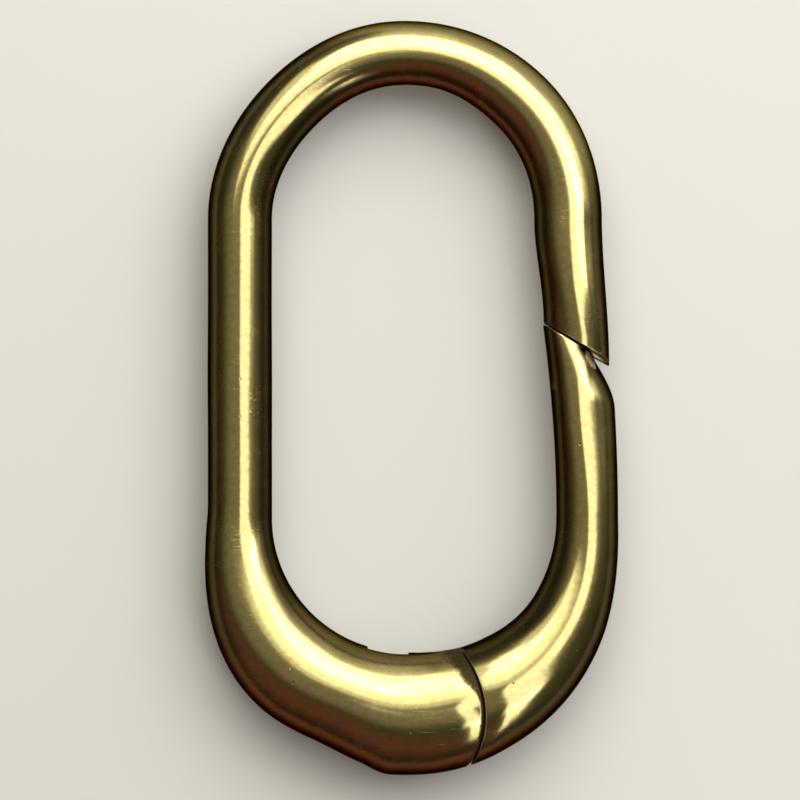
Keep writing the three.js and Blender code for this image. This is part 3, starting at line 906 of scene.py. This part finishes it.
def gold_plate(graph, finish, shape):
    """Polished gold plate: bright on the crown, with painted shade on the flanks and rims, dirty at
    the seams.
    """
    place = millimetres(graph)
    normal = graph.node("ShaderNodeTexCoord", None, None, "Normal")
    facing_x = graph.node("ShaderNodeSeparateXYZ", None, {"Vector": normal})
    facing_y, upright = facing_x.output("Y"), abs(facing_x.output("Z"))
    patchy = graph.cloud(place, 0.45, 4, 0.6)
    mottle = graph.cloud(place, 2.3, 4, 0.65)
    # Painted reflection: lightens the painted shade where bright walls would show in the flanks
    reflection_lift = painted_reflection_lift(graph, place, facing_x, facing_y)
    # Painted shade on the flanks and rims, by how far the surface leans from level
    level = upright + 0.1 * (patchy - 0.5)
    flank = graph.rise(level, math.cos(finish.flank_start), math.cos(finish.flank_full))
    flank = flank * (1 - 0.5 * reflection_lift)
    rim = graph.rise(level, math.cos(finish.rim_start), math.cos(finish.rim_full))
    rim = rim * (1 - 0.35 * reflection_lift)
    blotched = graph.rise(graph.cloud(place, 0.8, 5, 0.7), 0.46, 0.66)
    # Painted red-brown reflection: the flanks that face down and to the left
    painted_red_brown_side = graph.rise(-0.3 * facing_x - 0.95 * facing_y, 0.35, 0.65)
    dirt = seam_dirt(graph, place, finish, shape) * graph.rise(mottle, 0.22, 0.4)
    pitted = pits(graph, place, scale=0.8, size=0.09, share_kept=0.4)
    pinholes = pits(graph, place, scale=3.1, size=0.16, share_kept=0.25)
    pinholes = pinholes * graph.rise(patchy, 0.52, 0.62)
    scratched = scratches(graph, place, patchy)
    worn = graph.rise(patchy, 0.62, 0.75) * flank
    chafed = chafed_spot(graph, place, mottle, finish, shape)

    base = graph.mix(graph.rise(mottle, 0.3, 0.75), finish.gold, finish.deep_gold)
    # The painted shade and painted red-brown reflection go into the flanks' and rims' base colour
    tarnish_and_painted_shade = graph.mix(painted_red_brown_side, finish.tarnish_and_painted_shade, finish.painted_red_brown_shade)
    tarnish_and_painted_shade = graph.mix(blotched * 0.5, tarnish_and_painted_shade, finish.grime_and_painted_shade)
    base = graph.mix(flank * finish.flank_shade_depth, base, tarnish_and_painted_shade)
    rim_painted_shade = graph.mix(painted_red_brown_side, finish.grime_and_painted_shade, finish.darkest_painted_red_brown_shade)
    base = graph.mix(rim * finish.rim_depth, base, rim_painted_shade)
    base = graph.mix(worn * 0.3, base, finish.copper)
    base = graph.mix(chafed * 0.65, base, finish.chafed)
    base = graph.mix(dirt * 0.97, base, finish.grime_and_painted_shade)
    base = graph.mix(graph.maths("MAXIMUM", pitted, pinholes) * 0.75, base, finish.grime_and_painted_shade)

    roughness = finish.roughness + 0.05 * mottle + 0.12 * flank + 0.35 * dirt
    roughness = roughness + 0.12 * scratched + 0.3 * pitted + 0.3 * chafed
    height = 0.003 * graph.cloud(place, 0.9, 2) + 0.0014 * graph.cloud(place, 3.2, 3)
    height = height - 0.012 * pitted - 0.006 * pinholes - 0.0006 * scratched
    height = height + 0.02 * dirt * mottle
    bump = graph.node("ShaderNodeBump", None, {"Height": height, "Distance": MM})
    return graph.node(
        "ShaderNodeBsdfPrincipled",
        None,
        {
            "Base Color": base,
            "Metallic": 1 - 0.85 * graph.maths("MAXIMUM", dirt, 0.7 * chafed),
            "Roughness": graph.maths("MINIMUM", roughness, 0.8),
            "Specular Tint": (*finish.edge_tint, 1),
            "Specular IOR Level": 0.05,
            "Normal": bump,
        },
    )


def plated(name, scene, shape):
    """The gold plate of one of the castings."""
    return metal(name, lambda graph: gold_plate(graph, scene.gate_ring_finish, shape))


def ground_pin(graph, finish):
    """The pin's ground end: plated, with the fine rings that grinding leaves."""
    place = millimetres(graph)
    lines = hairlines(graph, place, 0.8, 0.3, 16)
    mottle = graph.cloud(place, 5, 3)
    base = graph.mix(graph.rise(mottle, 0.3, 0.8) * 0.6, finish.pin_gold, finish.tarnish_and_painted_shade)
    height = 0.0008 * mottle - 0.0012 * lines
    bump = graph.node("ShaderNodeBump", None, {"Height": height, "Distance": MM})
    sockets = {"Base Color": base, "Roughness": 0.24 + 0.14 * mottle + 0.1 * lines, "Normal": bump}
    return graph.node("ShaderNodeBsdfPrincipled", None, {**sockets, "Metallic": 1})


def drawn_wire(graph, finish):
    """Spring wire with faint drawing marks and a film of old oil."""
    place = millimetres(graph)
    film = graph.cloud(place, 1.7, 3)
    grain = graph.cloud(place, 14, 2)
    base = graph.mix(graph.rise(film, 0.45, 0.75) * 0.5, finish.steel, finish.tarnish_and_painted_shade)
    bump = graph.node("ShaderNodeBump", None, {"Height": 0.0012 * grain, "Distance": MM})
    sockets = {"Base Color": base, "Roughness": 0.26 + 0.2 * film, "Normal": bump, "Metallic": 1}
    return graph.node("ShaderNodeBsdfPrincipled", None, sockets)


def pale_floor(graph, studio):
    """A plain pale floor with the faintest unevenness."""
    place = millimetres(graph)
    tone = graph.cloud(place, 0.02, 2)
    darker = [channel * 0.97 for channel in studio.floor]
    base = graph.mix(tone, studio.floor, darker)
    return graph.node("ShaderNodeBsdfPrincipled", None, {"Base Color": base, "Roughness": 0.9})


# Operators


class GATERING_OT_ring(bpy.types.Operator):
    """Adds the ring casting: plain bow, long side, thick hinge end with its slot, and nose"""

    bl_idname = "gate_ring.add_ring"
    bl_label = "Ring casting"
    bl_options = {"REGISTER", "UNDO"}

    def execute(self, context):
        scene = context.scene
        shape = RingShape(scene)
        piece = loft("ring_casting", shape.ring_stations(), shape)
        ripple(piece, shape.ring)
        slot = plate("slot", shape.slot_outline(), shape.hinge.slot_width)
        pin_hole = pin_bar("pin_hole", shape, shape.hinge.drive_clearance)
        for tool in (spring_bore(shape), slot, pin_hole):
            combine(piece, tool, "DIFFERENCE")
        material = plated("ring_gold_plate", scene, shape)
        finish_piece(piece, material, "ring", "ring_body")
        return {"FINISHED"}


class GATERING_OT_gate(bpy.types.Operator):
    """Adds the gate casting: its bar, hollow shoulder, tongue and heel"""

    bl_idname = "gate_ring.add_gate"
    bl_label = "Gate casting"
    bl_options = {"REGISTER", "UNDO"}

    def execute(self, context):
        scene = context.scene
        shape = RingShape(scene)
        hinge = shape.hinge
        total = shape.facets.low_bow_stations
        turns = np.linspace(hinge.pin_angle / 2, shape.gate.inset_full, total)
        stations = [shape.flat_station(turn, shape.gate_section) for turn in turns]
        envelope = loft("envelope", stations, shape)
        thickness = hinge.slot_width - 2 * hinge.side_clearance
        tongue = plate("tongue", shape.tongue_outline(), thickness)
        combine(tongue, envelope, "INTERSECT")
        piece = loft("gate_casting", shape.gate_stations(), shape)
        ripple(piece, shape.ring)
        combine(piece, tongue, "UNION")
        combine(piece, through_hole(shape), "DIFFERENCE")
        material = plated("gate_gold_plate", scene, shape)
        finish_piece(piece, material, "gate", "gate")
        return {"FINISHED"}


class GATERING_OT_pin(bpy.types.Operator):
    """Adds the hinge pin, driven in from the back and ground flush"""

    bl_idname = "gate_ring.add_pin"
    bl_label = "Hinge pin"
    bl_options = {"REGISTER", "UNDO"}

    def execute(self, context):
        scene = context.scene
        shape = RingShape(scene)
        piece = pin_bar("turned_pin", shape, 0, shape.hinge.pin_tip_gap)
        blank = loft("blank", shape.ring_stations(), shape)
        ripple(blank, shape.ring)
        combine(piece, blank, "INTERSECT")
        finish = scene.gate_ring_finish
        material = metal("ground_pin", lambda graph: ground_pin(graph, finish))
        finish_piece(piece, material, "ring", "hinge_pin")
        return {"FINISHED"}


class GATERING_OT_spring(bpy.types.Operator):
    """Adds the coil spring in its bore"""

    bl_idname = "gate_ring.add_spring"
    bl_label = "Gate spring"
    bl_options = {"REGISTER", "UNDO"}

    def execute(self, context):
        scene = context.scene
        shape = RingShape(scene)
        piece = coil_spring(shape)
        finish = scene.gate_ring_finish
        material = metal("drawn_spring_wire", lambda graph: drawn_wire(graph, finish))
        finish_piece(piece, material, "ring", "gate_spring")
        hinge = shape.hinge
        shut_length = shape.spring_length()
        far = hinge.seat_from_pin + hinge.spring_end_gap + shut_length
        fixed_end = shape.bore_point(far, 0, 0)
        axis = shape.bore_point(1, 0, 0) - shape.bore_point(0, 0, 0)
        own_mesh(piece)
        return {"FINISHED"}


class GATERING_OT_stage(bpy.types.Operator):
    """Adds the camera, the pale floor and the soft studio light"""

    bl_idname = "gate_ring.add_stage"
    bl_label = "Studio"
    bl_options = {"REGISTER", "UNDO"}

    def execute(self, context):
        scene = context.scene
        studio = scene.gate_ring_studio
        add_camera(scene, studio)
        add_floor(studio)
        add_lamps(studio)
        add_world(scene, studio)
        scene.view_settings.view_transform = "Standard"
        return {"FINISHED"}


def pin_place(along, radius, turn):
    """A point of a bar along the pin's axis."""
    return HINGE_POINT + np.array([radius * math.cos(turn), radius * math.sin(turn), along])


def pin_bar(name, shape, clearance, tip_gap=0.0):
    """A bar on the pin's axis, from below the ring up into the front ear."""
    hinge = shape.hinge
    radius = hinge.pin_diameter / 2 + clearance
    top = hinge.slot_width / 2 + hinge.blind_depth - tip_gap
    low = -shape.ring.hinge_depth
    profile = [(radius, low), (radius, top - hinge.pin_chamfer), (radius - hinge.pin_chamfer, top)]
    return turned(name, profile, shape.facets.hole_sides, pin_place)


def through_hole(shape):
    """The hole in the tongue that runs on the pin."""
    hinge = shape.hinge
    radius = hinge.pin_diameter / 2 + hinge.running_clearance
    half = shape.ring.hinge_depth
    return turned("hole", [(radius, -half), (radius, half)], shape.facets.hole_sides, pin_place)


def spring_bore(shape):
    """The spring's bore, with the cone that its drill leaves."""
    hinge = shape.hinge
    radius = hinge.bore_diameter / 2
    end = hinge.seat_from_pin + 2 * hinge.spring_end_gap + shape.spring_length()
    point_radius = 0.05 * radius
    point_end = end + hinge.drill_point
    profile = [(radius, hinge.seat_from_pin), (radius, end), (point_radius, point_end)]
    return turned("bore", profile, shape.facets.hole_sides, shape.bore_point)


def coil_spring(shape):
    """The spring as one tube: its curls, and a short straight end at each side."""
    hinge, facets = shape.hinge, shape.facets
    radius = (hinge.spring_diameter - hinge.spring_wire) / 2
    start = hinge.seat_from_pin + hinge.spring_end_gap
    steps = hinge.spring_curls * facets.curl_steps
    places = [(0, 0)]
    for step in range(steps + 1):
        curls = step / facets.curl_steps
        places.append((2 * math.pi * curls, hinge.spring_wire + hinge.spring_pitch * curls))
    places.append((places[-1][0], places[-1][1] + hinge.spring_wire))
    path = [shape.bore_point(start + along, radius, turn) for turn, along in places]
    outwards = [
        shape.bore_point(0, 1, turn) - shape.bore_point(0, 0, turn) for turn, along in places
    ]
    turns = 2 * math.pi * np.arange(facets.wire_sides) / facets.wire_sides
    rings = []
    for index, (point, away) in enumerate(zip(path, outwards)):
        along = path[min(index + 1, len(path) - 1)] - path[max(index - 1, 0)]
        across = np.cross(along / np.linalg.norm(along), away)
        across = across / np.linalg.norm(across)
        spokes = np.outer(np.cos(turns), away) + np.outer(np.sin(turns), across)
        rings.append(point + spokes * hinge.spring_wire / 2)
    return new_piece("coil_spring", *skin(rings, path[0], path[-1]))


def add_camera(scene, studio):
    """A long lens straight above the ring."""
    data = bpy.data.cameras.new("camera")
    data.sensor_width = studio.sensor / MM
    data.lens = data.sensor_width * studio.camera_height / studio.frame_width
    camera = bpy.data.objects.new("camera", data)
    middle = HINGE_POINT[2]
    camera.location = (studio.frame_centre_x, studio.frame_centre_y, middle + studio.camera_height)
    scene.collection.objects.link(camera)
    scene.camera = camera


def add_floor(studio):
    """The floor that the ring lies on."""
    half = studio.floor_size / 2
    mesh = bpy.data.meshes.new("floor")
    corners = [(-half, -half, 0), (half, -half, 0), (half, half, 0), (-half, half, 0)]
    mesh.from_pydata(corners, [], [(0, 1, 2, 3)])
    floor = bpy.data.objects.new("floor", mesh)
    bpy.context.scene.collection.objects.link(floor)
    mesh.materials.append(metal("pale_floor", lambda graph: pale_floor(graph, studio)))


@dataclass
class Panel:
    """A soft panel that faces down: its edges as shares of its height, and its brightness.

    Its height is a share of the ceiling's, and its turn is in degrees.
    """

    name: str
    left: float
    right: float
    low: float
    high: float
    brightness: float
    height: float = 1
    turn: float = 0


PANELS = [
    Panel("window_sill", -0.5, 0.5, 0.16, 0.42, 1.0),
    Panel("window_left", -0.5, 0.03, 0.42, 1.0, 2.3),
    Panel("window_middle", 0.03, 0.5, 0.42, 1.0, 3.2),
    Panel("window_right", 0.5, 1.25, 0.12, 1.0, 2.6),
    Panel("window_top", -0.65, 1.2, 1.0, 1.9, 2.8),
    Panel("window_edge", 1.25, 2.4, 0.6, 1.4, 1.2),
    Panel("window_near", 0.78, 1.1, -2.4, -0.85, 2.2, 0.23, 21),
]


def add_lamps(studio):
    """The soft panels of the ceiling, which face straight down."""
    for panel in PANELS:
        data = bpy.data.lights.new(panel.name, "AREA")
        data.shape = "RECTANGLE"
        height = panel.height * studio.ceiling_height
        data.size = (panel.right - panel.left) * height
        data.size_y = (panel.high - panel.low) * height
        data.energy = panel.brightness * math.pi * data.size * data.size_y
        data.color = studio.lamp_colour
        middle_x, middle_y = (panel.left + panel.right) / 2, (panel.low + panel.high) / 2
        lamp = bpy.data.objects.new(panel.name, data)
        lamp.location = Vector((middle_x, middle_y, 1)) * height
        lamp.rotation_euler = (0, 0, math.radians(panel.turn))
        lamp.visible_camera = False
        bpy.context.scene.collection.objects.link(lamp)


def room_map(graph):
    """The direction in the room as a flat map in degrees: straight up is in its middle."""
    direction = graph.node("ShaderNodeTexCoord", None, None, "Generated")
    x = graph.node("ShaderNodeSeparateXYZ", None, {"Vector": direction})
    y, z = x.output("Y"), x.output("Z")
    from_top = graph.maths("ARCCOSINE", z) * math.degrees(1)
    flat = graph.maths("MAXIMUM", (x**2 + y**2) ** 0.5, 0.001)
    return from_top * x / flat, from_top * y / flat, from_top


def side_window(graph, east, north):
    """A tall window low on the right, which leans away downwards."""
    low_left = graph.maths("MINIMUM", -0.8 * north - 2, 15)
    left = 3 + graph.maths("MAXIMUM", low_left, 0.8 * north - 1)
    low_right = graph.maths("MINIMUM", -0.75 * north - 4.5, 15)
    right = 22 + graph.maths("MAXIMUM", low_right, 2.2 * north + 13)
    across = graph.rise(east - left, -1.5, 1.5) * graph.rise(right - east, -2, 2)
    return across * graph.rise(north, -37, -28) * graph.rise(north, 17, 14)


def add_world(scene, studio):
    """A dim room: a tan ceiling, windows with soft edges, a red-brown corner and dark walls.

    Each rise says at how many degrees on the room's map a part starts and is full.
    """
    world = bpy.data.worlds.new("room")
    world.use_nodes = True
    scene.world = world
    graph = Graph(world.node_tree)
    east, north, from_top = room_map(graph)
    ceiling = graph.rise(from_top - 1.3 * graph.maths("MINIMUM", north, 0), 68, 28)
    east_wall = graph.rise(from_top, 50, 75) * graph.rise(east, 30, 60)
    east_wall = east_wall * graph.rise(abs(north - 12), 30, 12)
    north_wall = graph.rise(north - 0.4 * abs(east), 35, 62)
    corner = graph.rise(-0.52 * east - north, 28, 50) * graph.rise(east, 42, 32)
    left_wing = graph.rise(east + 0.85 * north, -18, -14) * graph.rise(east, -41, -36)
    left_wing = left_wing * graph.rise(north, 6, 9) * graph.rise(north, 58, 48)
    crown = graph.rise(abs(east - 12), 32, 16) * graph.rise(north, 55, 60)
    crown = crown * graph.rise(north, 101, 84)
    glow = graph.rise(0.5 * east + 0.8 * north, 48, 58) * graph.rise(east, 18, 30)
    glow = glow * graph.rise(north - 0.45 * east, -2, 8) * graph.rise(from_top, 101, 88)
    horizon = graph.rise(from_top, 78, 88) * graph.rise(corner, 1, 0)

    tone = graph.mix(ceiling, studio.dim_room, studio.ceiling)
    for part, light_of_part in (
        (north_wall, studio.north_wall),
        (east_wall, studio.east_wall),
        (corner, studio.corner),
        (horizon, studio.horizon),
        (left_wing, studio.left_wing),
        (crown, studio.crown),
        (glow, studio.glow),
        (side_window(graph, east, north), studio.side_window),
    ):
        tone = graph.mix(part, tone, light_of_part)
    shader = graph.node("ShaderNodeBackground", None, {"Color": tone, "Strength": 1})
    graph.node("ShaderNodeOutputWorld", None, {"Surface": shader})


class GATERING_PT_panel(bpy.types.Panel):
    """Lists the pieces of the ring and the sizes they are made from"""

    bl_idname = "GATERING_PT_panel"
    bl_label = "Gate Ring"
    bl_space_type = "VIEW_3D"
    bl_region_type = "UI"
    bl_category = "Gate Ring"

    def draw(self, context):
        for operator in OPERATORS:
            self.layout.operator(operator.bl_idname)
        for name, group in GROUPS.items():
            box = self.layout.box()
            box.label(text=group.__doc__)
            settings = getattr(context.scene, name)
            for key in group.__annotations__:
                box.prop(settings, key)


OPERATORS = (
    GATERING_OT_stage,
    GATERING_OT_ring,
    GATERING_OT_gate,
    GATERING_OT_pin,
    GATERING_OT_spring,
)


def register():
    for group in GROUPS.values():
        bpy.utils.register_class(group)
    for name, group in GROUPS.items():
        setattr(bpy.types.Scene, name, PointerProperty(type=group))
    for operator in OPERATORS:
        bpy.utils.register_class(operator)
    bpy.utils.register_class(GATERING_PT_panel)


def unregister():
    bpy.utils.unregister_class(GATERING_PT_panel)
    for operator in reversed(OPERATORS):
        bpy.utils.unregister_class(operator)
    for name in GROUPS:
        delattr(bpy.types.Scene, name)
    for group in reversed(GROUPS.values()):
        bpy.utils.unregister_class(group)


def main():
    register()
    bpy.ops.gate_ring.add_stage()
    bpy.ops.gate_ring.add_ring()
    bpy.ops.gate_ring.add_gate()
    bpy.ops.gate_ring.add_pin()
    bpy.ops.gate_ring.add_spring()


if __name__ == "__main__":
    main()
